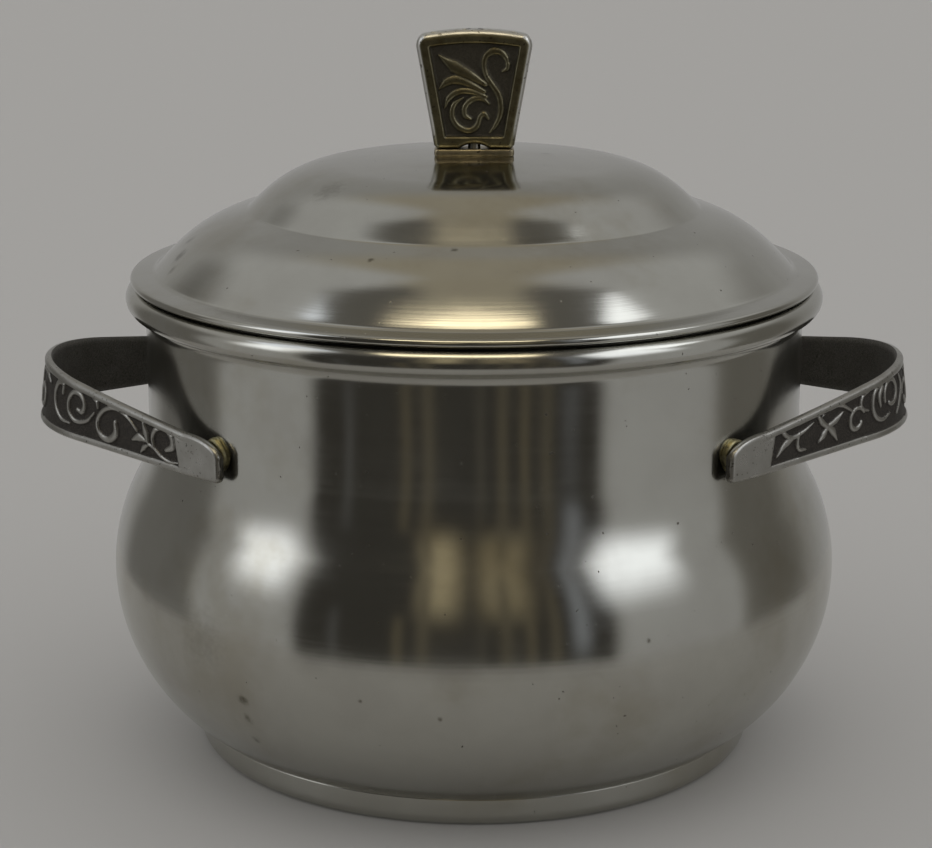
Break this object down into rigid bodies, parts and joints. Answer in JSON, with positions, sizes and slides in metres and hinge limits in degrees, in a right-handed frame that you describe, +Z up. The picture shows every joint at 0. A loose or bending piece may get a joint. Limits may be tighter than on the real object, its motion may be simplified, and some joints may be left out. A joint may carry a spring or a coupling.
{
  "type": "sugar bowl",
  "caption": "Round lidded sugar bowl in pressed sheet metal, with a straight neck, a foot ring, two looped strap handles and a flat cast knob.",
  "frame": {"origin": "centre of the foot's contact ring, on the surface that the bowl stands on", "axes": "+Z up along the bowl's axis, +X through the right handle, -Y towards the viewer"},
  "size_m": [0.1378, 0.1148, 0.1125],
  "materials": {
    "satin_silver": "satin-polished, brushed round the axis",
    "blackened_silver": "polished relief on a blackened ground",
    "braze": "dull, tarnished brazing metal",
    "cast_knob": "cast, olive-brown patina with a worn frame",
    "fastener": "turned, plain"
  },
  "bodies": {
    "root": {"bowl_shell": "satin_silver", "foot_ring": "satin_silver", "left_handle": "blackened_silver", "right_handle": "blackened_silver", "braze_left_front": "braze", "braze_left_back": "braze", "braze_right_front": "braze", "braze_right_back": "braze"},
    "lid": {"lid_shell": "satin_silver", "lid_collar": "satin_silver", "knob": "cast_knob", "knob_base": "cast_knob", "knob_screw": "fastener", "knob_washer": "fastener"}
  },
  "joints": [
    {"name": "lid_lift", "type": "slide", "parent": "root", "child": "lid", "axis": [0, 0, 1], "range_m": [0, 0.08]}
  ]
}
